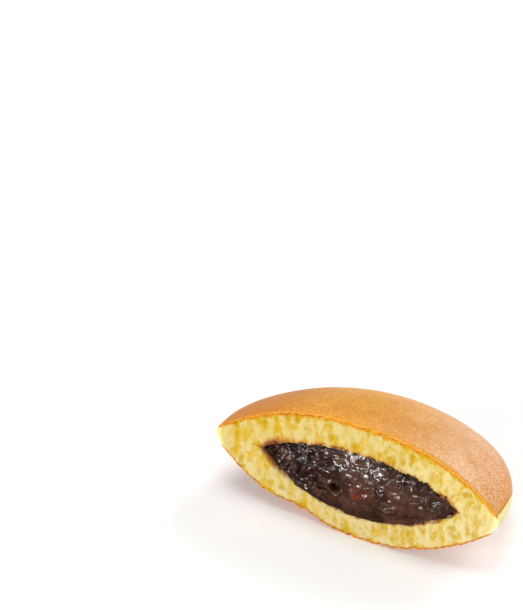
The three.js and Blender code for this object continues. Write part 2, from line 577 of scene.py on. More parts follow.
class SpongeGroup:
    """Shader group: browned face, orange line at the cut, open crumb, pale rim and bean stain, with painted
    sheen and painted shade on the face, and painted light, bounce light and shade on the crumb.

    A pair says where something starts and where it is full. Sizes and depths are millimetres,
    edges are shares of the way to the face's edge, tints are shares of a colour, and contrasts
    multiply a noise.
    """

    PALING = (-6.0, 36.0)  # along the cut: to the right the face is paler with a painted sheen and the crumb paler with painted light,
    BROWNING = (-12.0, -42.0)  # to the left it is browner, partly browning and partly painted shade,
    SOAKING = (-16.0, -28.0)  # and the crumb is soaked round the filling's left tip, where it is also yellower with painted bounce light

    FACE_GRAIN = 0.44
    FACE_MOTTLE = 5.0
    MOTTLE_CONTRAST = 1.1
    GRAIN_CONTRAST = 3.4
    EDGE_CONTRAST = 5.0  # added at the right edge
    EDGE_GRAIN = (0.7, 1.0)
    EDGE_BROWNING = (0.9, 1.0)
    EDGE_TINT = 0.55
    PORE_EDGE = (0.7, 0.95)
    PORE_CONTRAST = 1.7
    PALE_TINT = 0.8
    LEFT_BROWN_AND_SHADE = 0.9
    LEFT_TAN_AND_SHADE = 0.3

    UNDER_FACE = (1.7, 0.6)  # in depths of the browned line
    UNDER_FACE_TINT = 0.6
    GRANULE_SIZE = 1.1
    GRANULE_CONTRAST = 1.1
    CRUMB_CONTRAST = 1.2
    # painted bounce light: the crumb's yellow deepens towards the left
    BOUNCE_TINT = 0.15
    # painted light: the crumb pales towards the right, on its lit side
    PALE_CRUMB_TINT = 0.12
    RIM_EDGE = (0.95, 1.0)
    RIM_TINT = 0.75
    SOAKED_RIM_TINT = 0.35  # painted bounce light: taken off the rim's, so the rim is yellower on the left
    SEAM_DEPTH = (0.6, 0.0)
    SEAM_TINT = 0.8

    STAIN_DEPTH = 1.9  # up to twice this where the crumb is soaked
    STAIN_FULL = 0.3
    PATCH_SIZE = 2.4
    PATCH = (0.38, 0.66)  # levels of the noise
    PATCH_TINT = 0.75  # the rest of the stain is even
    SOAKED_PATCH = 0.8
    SPECK_SIZE = 1.0
    SPECK = (0.48, 0.64)  # levels of the noise
    SPECK_DEPTH = (1.4, 0.4)
    SPECK_TINT = 0.7
    HALO = (0.0, 0.6)  # shares of the stain
    HALO_TINT = 0.6
    HEART = (0.4, 1.0)

    BURN_SIZE = 1.1
    BURN = (0.4, 0.6)  # levels of the noise
    BURN_DEPTH = (0.1, 0.35)
    PALE_BURN = 0.4  # taken off the burn's tint on the right
    BAND_CONTRAST = 3.5
    BAND_TINT = 0.42
    BAND_BROWN_AND_SHADE = 0.4
    CUT_DEPTH = (0.14, 0.3)
    BAND_RAGGED = 0.16
    BAND_START = (0.0, 0.05)
    BAND_DEPTH = (0.03, 0.13)
    LINE_WANDER = 0.8  # in depths of the browned line
    WANDER_SIZE = 1.5
    WANDER_DEPTH = (0.0, 0.15)
    LINE_END = (0.35, 1.3)  # in depths of the browned line

    FACE_ROUGHNESS = 0.5
    CRUMB_ROUGHNESS = 0.3  # added to the face's
    GRAIN_ROUGHNESS = 0.2
    LEFT_GLOSS = 0.04
    RIGHT_GLOSS = 0.71  # added to the left's
    GLOSS_EDGE = (1.3, 0.6)
    FACE_RELIEF = 1.6
    CRUMB_RELIEF = 1.2  # added to the face's

    def __init__(self, grain: GrainGroup) -> None:
        """Builds the group.

        Args:
            grain: The shared grain.
        """
        graph = FinishGraph(bpy.data.node_groups.new("griddle_sponge", "ShaderNodeTree"))
        names = [socket_name(tone.name) for tone in fields(SpongeTones)]
        self.graph = graph
        self.given = graph.receive({**dict.fromkeys(names, "Color"), "Line Depth": "Float"})
        self.place = graph.object_place()
        self.fine, self.broad = grain.read(graph, self.place, self.FACE_GRAIN, self.FACE_MOTTLE)
        self.speckle = self.fine - 0.5
        self.depth = graph.mark(Mark.CRUST_DEPTH)
        self.share = graph.mark(Mark.EDGE_SHARE)
        along, _, _ = graph.split(self.place)
        self.to_right = along.step(*self.PALING)
        self.to_left = along.step(*self.BROWNING)
        self.soaked = along.step(*self.SOAKING)

        ragged = self.speckle * self.BAND_RAGGED * self.depth.step(*self.BAND_START)
        off_face = (self.depth + ragged).step(*self.BAND_DEPTH)
        wander = graph.sway(self.place, self.WANDER_SIZE, seed=5.0) * self.LINE_WANDER
        wander = wander * self.depth.step(*self.WANDER_DEPTH)
        inside = (self.depth / self.given["Line Depth"] - wander).step(*self.LINE_END)
        browned = graph.blend(off_face, self.face(), self.line())
        gloss = (1.0 - off_face) * (self.LEFT_GLOSS + self.RIGHT_GLOSS * self.to_right)
        roughness = self.FACE_ROUGHNESS + inside * self.CRUMB_ROUGHNESS
        graph.deliver({
            "Color": ("Color", graph.blend(inside, browned, self.stain(self.crumb()))),
            "Roughness": ("Float", roughness + self.speckle * self.GRAIN_ROUGHNESS),
            "Gloss": ("Float", gloss * self.share.step(*self.GLOSS_EDGE)),
            "Height": ("Float", self.fine * (self.FACE_RELIEF + inside * self.CRUMB_RELIEF)),
        })
        self.tree = graph.tree

    def face(self) -> Field:
        """Colours the browned face, which is grainier towards its right edge, with a painted sheen towards
        the right and browning with painted shade towards the left.

        Returns:
            The colour.
        """
        graph, given, share = self.graph, self.given, self.share
        contrast = self.GRAIN_CONTRAST + self.EDGE_CONTRAST * self.to_right * share.step(*self.EDGE_GRAIN)
        mottle = (self.broad - 0.5) * self.MOTTLE_CONTRAST + self.speckle * contrast + 0.5
        # browner to the left: partly browning, partly painted shade away from the light on the right
        browned = mottle + self.to_left * self.LEFT_BROWN_AND_SHADE
        browned = browned.most(share.step(*self.EDGE_BROWNING) * self.EDGE_TINT)
        pores = self.speckle * self.PORE_CONTRAST * self.to_right * share.step(*self.PORE_EDGE)
        # painted sheen: the face pales towards the right
        tone = graph.blend(self.to_right * self.PALE_TINT, given["Face Light"], given["Face Pale"])
        tone = graph.blend(browned, tone, given["Face Dark"])
        # darker towards the left: partly painted shade
        return graph.blend(pores.most(self.to_left * self.LEFT_TAN_AND_SHADE), tone, given["Line Dark"])

    def line(self) -> Field:
        """Colours the browned line: a grainy band where the face ends, scorched on the cut.

        Returns:
            The colour.
        """
        graph, given = self.graph, self.given
        burnt = graph.noise(self.place, self.BURN_SIZE, seed=9.0).step(*self.BURN)
        burnt = burnt * (1.0 - self.to_right * self.PALE_BURN) * self.depth.step(*self.BURN_DEPTH)
        scorch = graph.blend(burnt, given["Line"], given["Line Dark"])
        # the band darkens to the left: partly painted shade
        paleness = self.speckle * self.BAND_CONTRAST + self.BAND_TINT - self.to_left * self.BAND_BROWN_AND_SHADE
        band = graph.blend(paleness, given["Line"], given["Face Light"])
        return graph.blend(self.depth.step(*self.CUT_DEPTH), band, scorch)

    def crumb(self) -> Field:
        """Colours the crumb: a deeper yellow in its hollows as painted shade, yellow under the face, pale
        round the rim, with painted light to the right and painted bounce light to the left.

        Returns:
            The colour.
        """
        graph, given = self.graph, self.given
        under_face = (self.depth / given["Line Depth"]).step(*self.UNDER_FACE) * self.UNDER_FACE_TINT
        granules = graph.sway(self.place, self.GRANULE_SIZE, seed=10.0) * self.GRANULE_CONTRAST
        granules = granules + self.speckle * self.CRUMB_CONTRAST
        # painted bounce light on the left, added to the painted shade of the hollows
        hollow = graph.mark(Mark.HOLLOW) + under_face + self.soaked * self.BOUNCE_TINT + granules
        at_rim = self.share.step(*self.RIM_EDGE) * (self.RIM_TINT - self.soaked * self.SOAKED_RIM_TINT)
        at_seam = graph.mark(Mark.SEAM_GAP).step(*self.SEAM_DEPTH) * self.SEAM_TINT
        # painted light: the crumb is paler towards the right
        tone = graph.blend(self.to_right * self.PALE_CRUMB_TINT, given["Crumb"], given["Rim"])
        # painted shade: the crumb turns deeper yellow in its hollows
        tone = graph.blend(hollow, tone, given["Hollow"])
        tone = graph.blend(at_rim, tone, given["Rim"])
        return graph.blend(at_seam, tone, given["Seam"])

    def stain(self, crumb: Field) -> Field:
        """Soaks the crumb round the filling, in patches and specks.

        Args:
            crumb: The clean crumb's colour.

        Returns:
            The stained colour.
        """
        graph, given = self.graph, self.given
        gap = graph.mark(Mark.PASTE_GAP)
        patches = graph.noise(self.place, self.PATCH_SIZE, seed=7.0).step(*self.PATCH)
        patches = patches.most(self.soaked * self.SOAKED_PATCH)
        specks = graph.noise(self.place, self.SPECK_SIZE, detail=1.5, seed=8.0).step(*self.SPECK)
        stain = gap.step(self.STAIN_DEPTH * (1.0 + self.soaked), self.STAIN_FULL)
        stain = stain * (patches * self.PATCH_TINT + (1.0 - self.PATCH_TINT))
        stain = stain.most(specks * gap.step(*self.SPECK_DEPTH) * self.SPECK_TINT)
        tone = graph.blend(stain.step(*self.HALO) * self.HALO_TINT, crumb, given["Line Dark"])
        return graph.blend(stain.step(*self.HEART), tone, given["Stain"])


@dataclass(frozen=True)
class SpongeFinish:
    """Browned griddle cake over soft open crumb."""

    name: str
    tones: SpongeTones
    line_depth: float  # millimetres of browning seen on the cut
    relief: float = 0.05
    specular: float = 0.12
    gloss_roughness: float = 0.38
    scatter: float = 0.2
    scatter_radius: tuple[float, float, float] = (0.9, 0.55, 0.2)  # millimetres, by channel

    def make(self, group: SpongeGroup) -> bpy.types.Material:
        """Makes the material.

        Args:
            group: The shared sponge group.

        Returns:
            The material.
        """
        material, graph, shader = new_material(self.name)
        tones = {socket_name(name): (*tone, 1.0) for name, tone in asdict(self.tones).items()}
        node = graph.group(group.tree, {**tones, "Line Depth": self.line_depth})
        graph.feed(shader.inputs["Base Color"], node.outputs["Color"])
        graph.feed(shader.inputs["Roughness"], node.outputs["Roughness"])
        graph.feed(shader.inputs["Coat Weight"], node.outputs["Gloss"])
        raise_bump(graph, shader, Field(graph, node.outputs["Height"]), self.relief)
        shader.inputs["Coat Roughness"].default_value = self.gloss_roughness
        shader.inputs["Specular IOR Level"].default_value = self.specular
        shader.inputs["Subsurface Weight"].default_value = self.scatter
        shader.inputs["Subsurface Radius"].default_value = self.scatter_radius
        shader.inputs["Subsurface Scale"].default_value = MM
        return material


@dataclass(frozen=True)
class PasteFinish:
    """Wet bean paste, with bean skins in dark, dull and red tints, painted shade in its crevices and a
    painted shadow on its left.

    A pair says where something starts and where it is full: along the cut in millimetres, by a
    bean's chance number, or by the level of the noise.
    """

    name: str = "bean_paste"
    paste: Colour = linear(84, 55, 43)
    paste_left: Colour = linear(48, 20, 9)  # painted shadow: darker where it lies open, left of the middle
    paste_dark: Colour = linear(25, 10, 5)
    skin_dark: Colour = linear(42, 18, 9)
    skin_dull: Colour = linear(76, 46, 34)
    skin_red: Colour = linear(92, 34, 16)
    # painted shade: near black in crevices, cracks and the hole
    crevice: Colour = linear(7, 3, 1)
    opened: Pair = (0.0, -15.0)  # along the cut, where the paste lies open and painted shadow falls
    dry_tip: Pair = (-20.5, -27.0)
    dull_beans: Pair = (0.15, 0.45)  # chance numbers
    red_beans: Pair = (0.62, 0.85)
    clear_beans: Pair = (0.3, 0.8)
    red_patches: Pair = (0.35, 0.6)  # levels
    wet_patches: Pair = (0.36, 0.5)
    fine_size: float = 0.42  # millimetres
    broad_size: float = 3.2
    patch_size: float = 2.4
    broad_contrast: float = 2.0
    fine_contrast: float = 2.4
    least_red: float = 0.4  # shares of a colour
    least_skin: float = 0.2
    smear_share: float = 0.75
    crevice_share: float = 0.9
    open_wet: float = 0.9  # shares of the gloss
    pressed_wet: float = 0.2
    pressed_patch: float = 0.6
    smear_dry: float = 0.9
    tip_dry: float = 0.8
    least_gloss: float = 0.02
    roughness: float = 0.34
    grain_roughness: float = 0.12
    gloss_roughness: float = 0.17
    specular: float = 0.03
    relief: float = 0.24

    def colour(self, graph: FinishGraph, opened: Field, fine: Field, broad: Field) -> Field:
        """Colours the paste, the beans in it and the smear, with painted shade in the crevices and a
        painted shadow on the left.

        Args:
            graph: The material's graph.
            opened: 1 where the paste lies open.
            fine: The fine grain.
            broad: The broad grain.

        Returns:
            The colour.
        """
        tint = graph.mark(Mark.TINT)
        mottle = (broad - 0.5) * self.broad_contrast + (fine - 0.5) * self.fine_contrast + 0.5
        # painted shadow: the paste is darker to the left
        paste = graph.blend(mottle, self.paste_dark, graph.blend(opened, self.paste, self.paste_left))
        redness = self.least_red + (1.0 - self.least_red) * broad.step(*self.red_patches)
        skin = graph.blend(tint.step(*self.dull_beans), self.skin_dark, self.skin_dull)
        skin = graph.blend(tint.step(*self.red_beans) * redness, skin, self.skin_red)
        clear = self.least_skin + (1.0 - self.least_skin) * tint.step(*self.clear_beans).most(broad)
        tone = graph.blend(graph.mark(Mark.BEAN) * clear, paste, skin)
        tone = graph.blend(graph.mark(Mark.SMEAR) * self.smear_share, tone, self.paste_dark)
        return graph.blend(graph.mark(Mark.CREVICE) * self.crevice_share, tone, self.crevice)

    def gloss(self, graph: FinishGraph, place: Field, opened: Field) -> Field:
        """Lays syrup on the upper slopes, in patches where the paste is whole.

        Args:
            graph: The material's graph.
            place: The place on the piece.
            opened: 1 where the paste lies open.

        Returns:
            The weight of the gloss.
        """
        along, _, _ = graph.split(place)
        patches = graph.noise(place, self.patch_size, detail=1.0, seed=21.0).step(*self.wet_patches)
        pressed = graph.mark(Mark.PRESSED) * (self.pressed_wet + patches * self.pressed_patch)
        wet = patches.most(pressed) * (1.0 - graph.mark(Mark.SMEAR) * self.smear_dry)
        wet = wet.most(opened * self.open_wet) * graph.mark(Mark.UPWARD)
        wet = wet * (1.0 - along.step(*self.dry_tip) * self.tip_dry)
        weight = self.least_gloss + (1.0 - self.least_gloss) * wet
        return weight * (1.0 - graph.mark(Mark.CREVICE) * self.crevice_share)

    def make(self, grain: GrainGroup) -> bpy.types.Material:
        """Makes the material.

        Args:
            grain: The shared grain.

        Returns:
            The material.
        """
        material, graph, shader = new_material(self.name)
        place = graph.object_place()
        fine, broad = grain.read(graph, place, self.fine_size, self.broad_size)
        opened = graph.split(place)[0].step(*self.opened)
        graph.feed(shader.inputs["Base Color"], self.colour(graph, opened, fine, broad))
        graph.feed(shader.inputs["Roughness"], self.roughness + fine * self.grain_roughness)
        graph.feed(shader.inputs["Coat Weight"], self.gloss(graph, place, opened))
        raise_bump(graph, shader, fine, self.relief)
        shader.inputs["Specular IOR Level"].default_value = self.specular
        shader.inputs["Coat Roughness"].default_value = self.gloss_roughness
        return material


# Shapes


@dataclass(frozen=True)
class CakeOutline:
    """Sizes that both griddle cakes share."""

    rim_radius: float = 46.3
    wave: float = 0.8  # how far the round outline wanders
    half_waves: float = 3.0  # of that, round the half
    wave_start: float = math.radians(10.0)  # from the cut's tips
    seam_inset: float = 0.3  # the pale rim dips in by this much at the seam
    seam_sharpness: float = 6.0
    dent_x: float = -16.5  # a pressed-in place under the left of the cut
    dent_reach: float = 9.3
    pocket_shift: float = 1.45
    pocket_reach: float = 31.5
    pocket_rough: float = 1.7  # raggedness where crumb meets paste
    pocket_grain: float = 1.5
    unevenness: float = 0.5
    uneven_size: float = 13.0
    torn_edge: float = 2.6  # raggedness of the browned face's edge along the cut
    torn_size: float = 2.2
    torn_level: float = 0.62  # of the noise; what lies above it stands out, by no more than torn_rise
    torn_rise: float = 0.1
    torn_reach: float = 1.2
    torn_line: float = 3.0  # the browned line shows on the face within half of this from the cut
    torn_line_size: float = 0.9
    lap_start: float = math.radians(10.0)  # from the cut's tips, where the browning starts to lap over
    lap_end: float = math.radians(27.0)
    lap_wave: float = 1.0
    lap_size: float = 7.0
    lap_radius: float = 46.0  # turns an angle into a length along the rim
    columns: int = 560
    face_rows: int = 40
    pocket_rows: int = 12
    cut_rows: int = 56  # of the cut and of the rim, which meet at the tips
    crowding: float = 1.5  # of the rows towards the cut


class CrumbTree:
    """Shape group: relief of the cut sponge, in tall walls and hollows that fan out towards the face, with
    painted shade in its hollows.
    """

    FAN = 0.006  # how much the walls spread, for each millimetre from the seam
    FAN_ROUNDING = 3.0
    BEND = 0.8
    BEND_SIZE = 4.0
    WALL_WIDTH = 2.2
    WALL_HEIGHT = 6.0
    WALL_RELIEF = 0.28
    WALL = (0.6, 0.36)  # levels of the noise
    TUNNEL_WIDTH = 3.5
    TUNNEL_HEIGHT = 4.2
    TUNNEL_DEPTH = 0.6
    TUNNEL = (0.5, 0.05)  # from a cell's edge to its middle
    TUNNEL_CHANCE = (0.66, 0.8)  # a cell's chance number
    PORE_WIDTH = 1.9
    PORE_HEIGHT = 2.47
    PORE_DEPTH = 0.25
    PORE = (0.56, 0.05)
    PORE_CHANCE = (0.3, 0.7)
    CRUMB_WIDTH = 0.6
    CRUMB_HEIGHT = 0.72
    CRUMB_RELIEF = 0.3
    OPEN_CRUMB = (0.3, 1.6)  # millimetres below the face
    CLOUD_SIZE = 2.8
    RIPPLE = 0.8
    RIPPLE_SIZE = 6.5
    SCALLOP = 1.0  # raggedness of the browned edge
    SCALLOP_SIZE = 1.5
    SCALLOP_DEPTH = (2.0, 0.2)
    WALL_TINT = 0.7  # shares of the hollows' painted shade
    TUNNEL_TINT = 0.6
    PORE_TINT = 0.4
    CRUMB_TINT = 0.8
    CLOUD_TINT = 1.0

    def __init__(self) -> None:
        """Builds the group."""
        graph = ShapeGraph("crumb_relief")
        given = graph.receive({"X": "Float", "Z": "Float", "Depth": "Float"})
        x, z, depth = given["X"], given["Z"], given["Depth"]
        flat = graph.vector(x, 0.0, z)
        bend = graph.sway(flat, self.BEND_SIZE, detail=0.0, seed=1.0) * self.BEND
        rise = graph.math("SQRT", graph.square(z) + self.FAN_ROUNDING**2)
        fanned = x / (1.0 + rise * self.FAN) + bend
        wall_place = graph.vector(fanned / self.WALL_WIDTH, 0.0, z / self.WALL_HEIGHT)
        between = graph.noise(wall_place, 1.0, detail=0.8, seed=2.0).step(*self.WALL)
        tunnel_place = graph.vector(fanned / self.TUNNEL_WIDTH, z / self.TUNNEL_HEIGHT, 0.0)
        distance, chance = graph.cells(tunnel_place)
        tunnel = distance.step(*self.TUNNEL) * chance.step(*self.TUNNEL_CHANCE)
        pore_place = graph.vector(fanned / self.PORE_WIDTH, z / self.PORE_HEIGHT, 0.0)
        distance, chance = graph.cells(pore_place)
        pore = distance.step(*self.PORE) * chance.step(*self.PORE_CHANCE)
        crumb_place = graph.vector(fanned / self.CRUMB_WIDTH, 0.0, z / self.CRUMB_HEIGHT)
        crumb = graph.sway(crumb_place, 1.0, detail=1.0, seed=3.0)
        ripple = graph.sway(flat, self.RIPPLE_SIZE, seed=4.0) * self.RIPPLE
        scallop = graph.sway(flat, self.SCALLOP_SIZE, seed=6.0) * self.SCALLOP
        scallop = scallop * depth.step(*self.SCALLOP_DEPTH)
        pits = between * self.WALL_RELIEF + tunnel * self.TUNNEL_DEPTH + pore * self.PORE_DEPTH
        relief = ripple + scallop + crumb * self.CRUMB_RELIEF - pits * depth.step(*self.OPEN_CRUMB)
        cloud = graph.sway(flat, self.CLOUD_SIZE, detail=1.5, seed=7.0)
        # painted shade: deeper yellow in the gaps between walls, in tunnels and in pores, with random tone
        hollow = between * self.WALL_TINT + tunnel * self.TUNNEL_TINT + pore * self.PORE_TINT
        hollow = hollow - crumb * self.CRUMB_TINT + cloud * self.CLOUD_TINT
        graph.deliver({"Relief": ("Float", relief), "Hollow": ("Float", hollow)})
        self.tree = graph.tree


@dataclass
class CakeSizes:
    """Sizes of one griddle cake, each a named input of its shape tree."""

    crown: float
    edge: float
    edge_radius: float
    dome_power: float
    fuller: float  # added to the dome's power towards the right
    rim_round: float
    pocket_depth: float
    pocket_power: float
    dent_depth: float
    tip_lap: float  # how far the browning laps over the rim, at the cut's tips and elsewhere
    rim_lap: float


class CakeTree:
    """Shape tree of a griddle cake.

    Its browned face, the pocket for the filling, the cut and the rim are welded into one closed skin.
    """

    WELD = 0.0003
    REACH_OF_CUT = 3.0  # the relief of the cut fades out over this depth
    FAR = 12.0  # paste gap away from the filling
    SMOOTH_RIM = (0.84, 0.99)  # shares of the way to the rim between which the crumb grows smooth
    STILL_EDGE = 6.0  # power by which the face's unevenness dies out at its edge
    SHARP_ANGLE = math.radians(58.0)
    SHARP_DEPTH = 0.5
    FACE_PLANE = 40.0  # planes of the noise, each on its own side for the two cakes
    TORN_PLANE = 90.0
    POCKET_PLANE = 70.0
    LINE_PLANE = 20.0
    FULL_POCKET = (0.0, 0.25)  # heights of the lens, over which the pocket grows ragged
    LINE_ON_FACE = 0.14  # depth mark of the browned line on the face
    LINE_LEAST = 0.5
    LINE_FULL = 0.4  # as a share of the line's width
    LINE_LEFT = 0.85
    LINE_RIGHT = 0.35  # added to the left's width
    LINE_WIDENING = (0.0, 35.0)  # along the cut
    BARE_DEPTH = 2.0  # depth mark for each millimetre past the browning

    def __init__(self, outline: CakeOutline, crumb: CrumbTree) -> None:
        """Builds the tree.

        Args:
            outline: The shared sizes.
            crumb: The relief of the cut.
        """
        self.outline = outline
        self.crumb = crumb
        self.graph = ShapeGraph("griddle_cake")
        sizes = ["Side", *(socket_name(size.name) for size in fields(CakeSizes))]
        self.given = self.graph.receive({**dict.fromkeys(sizes, "Float"), "Material": "Material"})
        face = self.skin(outline.face_rows, self.face_point)
        pocket = self.graph.flip(self.skin(outline.pocket_rows, self.pocket_point))
        cut = self.skin(outline.cut_rows, self.cut_point)
        rim = self.graph.flip(self.skin(outline.cut_rows, self.rim_point))
        closed = self.graph.weld(self.graph.join(face, pocket, cut, rim), self.WELD)
        under = self.graph.math("LESS_THAN", self.given["Side"], 0.0)
        self.graph.finish(self.sharpen(self.graph.flip(closed, under)), self.given["Material"])
        self.tree = self.graph.tree

    def sharpen(self, mesh: Field) -> Field:
        """Keeps the edge between the face and the cut crisp.

        Args:
            mesh: The closed cake.

        Returns:
            The cake with its sharp edges.
        """
        graph = self.graph
        angle = graph.out(graph.add("GeometryNodeInputMeshEdgeAngle"), "Unsigned Angle")
        browned = graph.math("LESS_THAN", graph.read(Mark.CRUST_DEPTH), self.SHARP_DEPTH)
        sharp = graph.math("GREATER_THAN", angle, self.SHARP_ANGLE) * browned
        inputs = {"Geometry": mesh, "Selection": sharp, "Shade Smooth": False}
        return graph.out(graph.add("GeometryNodeSetShadeSmooth", inputs, domain="EDGE"), "Geometry")

    def skin(self, rows: int, point: Callable[[Field, Field], dict[str, Operand]]) -> Field:
        """Shapes one surface of the cake.

        Args:
            rows: Faces across the surface.
            point: Gives the place and marks of a point from its angle round the cake and its share across.

        Returns:
            The surface.
        """
        graph = self.graph
        mesh, along, across = graph.grid(self.outline.columns, rows)
        made = point(along * (math.pi / 2), across)
        x, y, z = made["x"], made["y"], made["z"]
        signed = z * self.given["Side"]
        node = graph.add("GeometryNodeGroup", node_tree=self.crumb.tree)
        for name, value in {"X": x, "Z": signed, "Depth": made["depth"]}.items():
            graph.feed(node.inputs[name], value)
        calm = 1.0 - graph.step(made["share"], *self.SMOOTH_RIM)
        relief = Field(graph, node.outputs["Relief"]) * calm
        # painted shade of the cells, stored for the finish
        hollow = Field(graph, node.outputs["Hollow"]) * calm
        near = (1.0 - y / self.REACH_OF_CUT).most(0.0) if isinstance(y, Field) else 1.0
        moved = y - relief * near * near if isinstance(y, Field) else relief * -1.0
        mesh = graph.store(mesh, Mark.CRUST_DEPTH, made["depth"])
        mesh = graph.store(mesh, Mark.EDGE_SHARE, made["share"])
        mesh = graph.store(mesh, Mark.HOLLOW, hollow * near)
        mesh = graph.store(mesh, Mark.PASTE_GAP, made["gap"])
        mesh = graph.store(mesh, Mark.SEAM_GAP, made.get("seam", self.FAR))
        return graph.place(mesh, graph.vector(x, moved, signed))

    def wander(self, turn: Field) -> Field:
        """Gives the wander of the round outline at an angle from the cut; it is still at the tips."""
        away = turn.least(math.pi - turn).step(0.0, self.outline.wave_start)
        return self.outline.wave * self.graph.math("SINE", self.outline.half_waves * turn) * away

    def edge_radius(self, angle: Field) -> Field:
        """Gives the radius of the face's edge at an angle from the middle of the half."""
        return self.given["Edge Radius"] + self.wander(math.pi / 2 - angle)

    def bow(self, level: Operand) -> Operand:
        """Gives how far the rim stands out beyond the face's edge.

        Args:
            level: Share of the rim's height, from the seam.

        Returns:
            The length.
        """
        stand = self.outline.rim_radius - self.given["Edge Radius"]
        if not isinstance(level, Field):
            return stand - self.outline.seam_inset
        round_out = self.graph.math("COSINE", level * (math.pi / 2)).most(0.0) ** self.given["Rim Round"]
        return stand * round_out - self.outline.seam_inset * (1.0 - level) ** self.outline.seam_sharpness

    def face_height(self, x: Field, y: Operand) -> tuple[Field, Field]:
        """Gives the browned face over a point of the plan.

        Args:
            x: Along the cut.
            y: From the cut.

        Returns:
            The height above the seam, and the share of the way to the face's edge.
        """
        graph, given, outline = self.graph, self.given, self.outline
        radius = given["Edge Radius"] + self.wander(graph.math("ARCTAN2", y, x))
        share = (graph.math("SQRT", graph.square(x) + graph.square(y)) / radius).least(1.0)
        power = given["Dome Power"] + given["Fuller"] * x / given["Edge Radius"]
        height = given["Edge"] + (given["Crown"] - given["Edge"]) * (1.0 - share**power)
        away = (graph.square(x - outline.dent_x) + graph.square(y)) / outline.dent_reach**2
        dent = given["Dent Depth"] * graph.math("EXPONENT", away * -1.0)
        face_place = graph.vector(x, y, given["Side"] * self.FACE_PLANE)
        wave = graph.sway(face_place, outline.uneven_size, detail=1.0) * outline.unevenness
        torn_place = graph.vector(x, 0.0, given["Side"] * self.TORN_PLANE)
        torn = graph.noise(torn_place, outline.torn_size, detail=2.5) - outline.torn_level
        torn = (torn * outline.torn_edge).least(outline.torn_rise)
        torn = torn * graph.math("EXPONENT", graph.math("MULTIPLY", y, -1.0 / outline.torn_reach))
        return height - dent + (wave + torn) * (1.0 - share**self.STILL_EDGE), share

    def pocket_height(self, x: Field, y: Operand) -> Field:
        """Gives the ragged pocket that the filling sits in, over a point of the plan.

        Args:
            x: Along the cut.
            y: From the cut.

        Returns:
            The height above the seam.
        """
        graph, given, outline = self.graph, self.given, self.outline
        share2 = (graph.square(x - outline.pocket_shift) + graph.square(y)) / outline.pocket_reach**2
        lens = (1.0 - share2).most(0.0) ** given["Pocket Power"]
        rough = graph.sway(graph.vector(x, y, given["Side"] * self.POCKET_PLANE), outline.pocket_grain)
        return given["Pocket Depth"] * lens + rough * outline.pocket_rough * lens.step(*self.FULL_POCKET)

    def lap(self, turn: Operand) -> Operand:
        """Gives how far the browning laps over the face's edge.

        Args:
            turn: Angle from the cut's right tip.

        Returns:
            The length.
        """
        graph, given, outline = self.graph, self.given, self.outline
        if not isinstance(turn, Field):
            return given["Tip Lap"]
        from_tip = turn.least(math.pi - turn)
        round_edge = graph.vector(turn * outline.lap_radius, 0.0, 0.0)
        wave = graph.sway(round_edge, outline.lap_size, detail=3.0) * outline.lap_wave
        rounded = from_tip.step(outline.lap_start, outline.lap_end)
        return given["Tip Lap"] + (given["Rim Lap"] - given["Tip Lap"] + wave) * rounded

    def face_point(self, angle: Field, across: Field) -> dict[str, Operand]:
        """Places a point of the browned face, in rows that crowd towards the cut.

        Args:
            angle: Angle round the cake, from the middle of the half.
            across: Share of the way from the cut to the edge.

        Returns:
            The point's place and marks.
        """
        graph, outline = self.graph, self.outline
        sine, cosine = graph.math("SINE", angle), graph.math("COSINE", angle)
        radius = self.edge_radius(angle)
        x, y = radius * sine, radius * cosine * across**outline.crowding
        z, share = self.face_height(x, y)
        turn = graph.math("ARCTAN2", y, x)
        bare = ((share - 1.0) * self.given["Edge Radius"] - self.lap(turn)).most(0.0)
        line_place = graph.vector(x, 0.0, self.given["Side"] * self.LINE_PLANE)
        line = graph.noise(line_place, outline.torn_line_size) * outline.torn_line
        line = line * (self.LINE_LEFT + self.LINE_RIGHT * x.step(*self.LINE_WIDENING))
        line = y.step(line.most(self.LINE_LEAST), line * self.LINE_FULL)
        depth = (bare * self.BARE_DEPTH).most(line * self.LINE_ON_FACE)
        return {"x": x, "y": y, "z": z, "depth": depth, "share": share, "gap": self.FAR}

    def pocket_point(self, angle: Field, across: Field) -> dict[str, Operand]:
        """Places a point of the pocket and of the flat that meets the other cake.

        Args:
            angle: Angle round the cake, from the middle of the half.
            across: Share of the way from the cut to the edge.

        Returns:
            The point's place and marks.
        """
        sine, cosine = self.graph.math("SINE", angle), self.graph.math("COSINE", angle)
        radius = self.edge_radius(angle) + self.bow(0.0)
        x, y = radius * sine, radius * cosine * across**self.outline.crowding
        return {**self.cut_point(angle, 0.0), "y": y, "z": self.pocket_height(x, y), "gap": 0.0}

    def cut_point(self, angle: Field, across: Operand) -> dict[str, Operand]:
        """Places a point of the cut, in columns from the pocket to the face.

        Args:
            angle: Angle round the cake, from the middle of the half.
            across: Share of the way up.

        Returns:
            The point's place and marks.
        """
        graph, outline = self.graph, self.outline
        sine = graph.math("SINE", angle)
        face_x = self.edge_radius(angle) * sine
        x = face_x + self.bow(across) * sine
        high, share = self.face_height(face_x, 0.0)
        low = self.pocket_height(face_x + self.bow(0.0) * sine, 0.0)
        z = low + (high - low) * across
        past = (graph.math("ABSOLUTE", x - outline.pocket_shift) - outline.pocket_reach).most(0.0)
        inward = (1.0 - graph.math("ABSOLUTE", sine)) * outline.rim_radius
        below = (self.given["Edge"] * (1.0 - across) - self.lap(0.0)).most(0.0)
        depth = (high - z).least(graph.math("SQRT", graph.square(inward) + graph.square(below)))
        return {"x": x, "y": 0.0, "z": z, "depth": depth, "share": share, "gap": z - low + past}

